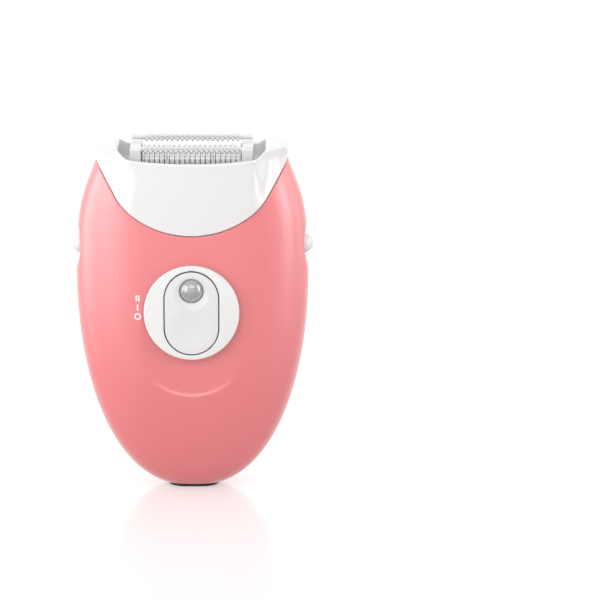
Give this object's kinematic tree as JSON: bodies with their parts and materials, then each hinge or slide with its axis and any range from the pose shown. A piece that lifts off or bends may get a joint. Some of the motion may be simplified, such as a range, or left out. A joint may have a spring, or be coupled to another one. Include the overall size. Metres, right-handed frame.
{
  "type": "epilator",
  "caption": "Hand-held epilator: flat egg-shaped handle, round front slide switch with light lens, side release buttons and a lift-off head with a rotating tweezer drum between massage rollers.",
  "frame": {"origin": "centre of the power inlet's mouth, at the bottom of the handle", "axes": "+Z along the handle towards the tweezer drum, -Y out of the front with the switch, +X to the right of someone looking at the front"},
  "size_m": [0.0804, 0.0433, 0.1185],
  "materials": {
    "pink_shell": "pearly gloss",
    "white_gloss": "gloss",
    "silver_inlay": "satin",
    "clear_lens": "clear",
    "light_chip": "matte",
    "grey_plastic": "matte",
    "black_plastic": "matte",
    "board_green": "satin",
    "lead_jacket": "matte",
    "white_drum": "satin",
    "acetal": "satin",
    "tweezer_steel": "satin",
    "steel": "satin",
    "motor_zinc": "satin",
    "magnet": "matte",
    "brass": "satin",
    "roller_grey": "satin"
  },
  "bodies": {
    "handle": {"front_shell": "pink_shell", "back_shell": "pink_shell", "seat_deck": "grey_plastic", "deck_screws": "steel", "chassis": "grey_plastic", "chassis_screws": "steel", "circuit_board": "board_green", "board_screws": "steel", "board_components": "black_plastic", "slide_switch_body": "black_plastic", "power_inlet": "black_plastic", "inlet_pins": "brass", "inlet_leads": "lead_jacket", "motor_can": "motor_zinc", "motor_end_cap": "grey_plastic", "motor_magnets": "magnet", "motor_leads": "lead_jacket", "gear_shafts": "steel", "right_button_spring": "steel", "left_button_spring": "steel"},
    "switch": {"switch_disc": "white_gloss", "switch_inlay": "silver_inlay", "light_lens": "clear_lens", "light_chip": "light_chip", "switch_carrier": "grey_plastic", "switch_lever": "black_plastic"},
    "right_button": {"right_release_button": "white_gloss"},
    "left_button": {"left_release_button": "white_gloss"},
    "motor_rotor": {"motor_shaft": "steel", "rotor_core": "motor_zinc", "motor_pinion": "brass"},
    "crown_wheel": {"crown_gear": "acetal"},
    "output_wheel": {"output_gear": "acetal"},
    "head": {"head_cover": "white_gloss", "head_frame": "white_gloss", "head_screws": "steel", "gear_cover": "grey_plastic", "drum_bearings": "brass", "transfer_axle": "steel", "cam_ring": "steel"},
    "transfer_wheel": {"transfer_gear": "acetal"},
    "drum": {"drum_shaft": "steel", "drum_core": "white_drum", "drum_end_caps": "white_drum", "fixed_tweezer_plates": "tweezer_steel", "drum_gear": "acetal"},
    "tweezers": {"moving_tweezer_plates": "tweezer_steel", "closing_rods": "steel"},
    "front_roller": {"front_massage_roller": "roller_grey"},
    "rear_roller": {"rear_massage_roller": "roller_grey"}
  },
  "joints": [
    {"name": "switch_slide", "type": "slide", "parent": "handle", "child": "switch", "axis": [0, 0.0599, 0.9982], "range_m": [0, 0.006]},
    {"name": "right_button_press", "type": "slide", "parent": "handle", "child": "right_button", "axis": [-1, 0, 0], "range_m": [0, 0.0018], "stiffness_N_per_m": 600, "springref_m": -0.0008, "deforming": ["right_button_spring"]},
    {"name": "left_button_press", "type": "slide", "parent": "handle", "child": "left_button", "axis": [1, 0, 0], "range_m": [0, 0.0018], "stiffness_N_per_m": 600, "springref_m": -0.0008, "deforming": ["left_button_spring"]},
    {"name": "head_lift", "type": "slide", "parent": "handle", "child": "head", "axis": [0, 0, 1], "range_m": [0, 0.04]},
    {"name": "drum_spin", "type": "hinge", "parent": "head", "child": "drum", "pos_m": [0, 0, 0.1083], "axis": [1, 0, 0], "continuous": true},
    {"name": "tweezers_close", "type": "slide", "parent": "drum", "child": "tweezers", "axis": [1, 0, 0], "range_m": [0, 0.00027], "stiffness_N_per_m": 800, "springref_m": -0.0002},
    {"name": "transfer_gear_spin", "type": "hinge", "parent": "head", "child": "transfer_wheel", "pos_m": [0.0184, 0, 0.0971], "axis": [1, 0, 0], "continuous": true},
    {"name": "output_gear_spin", "type": "hinge", "parent": "handle", "child": "output_wheel", "pos_m": [0.0184, 0, 0.0827], "axis": [1, 0, 0], "continuous": true},
    {"name": "crown_gear_spin", "type": "hinge", "parent": "handle", "child": "crown_wheel", "pos_m": [0.005, 0.0045, 0.06902], "axis": [1, 0, 0], "continuous": true},
    {"name": "motor_spin", "type": "hinge", "parent": "handle", "child": "motor_rotor", "pos_m": [0, 0.0045, 0.04], "axis": [0, 0, 1], "continuous": true},
    {"name": "front_roller_spin", "type": "hinge", "parent": "head", "child": "front_roller", "pos_m": [0, -0.0077, 0.116], "axis": [1, 0, 0], "continuous": true},
    {"name": "rear_roller_spin", "type": "hinge", "parent": "head", "child": "rear_roller", "pos_m": [0, 0.0077, 0.117], "axis": [1, 0, 0], "continuous": true}
  ],
  "couplings": [
    {"joint": "crown_gear_spin", "follows": "motor_spin", "ratio": 0.33333},
    {"joint": "output_gear_spin", "follows": "motor_spin", "ratio": -0.16667},
    {"joint": "transfer_gear_spin", "follows": "motor_spin", "ratio": 0.33333},
    {"joint": "drum_spin", "follows": "motor_spin", "ratio": -0.25}
  ]
}
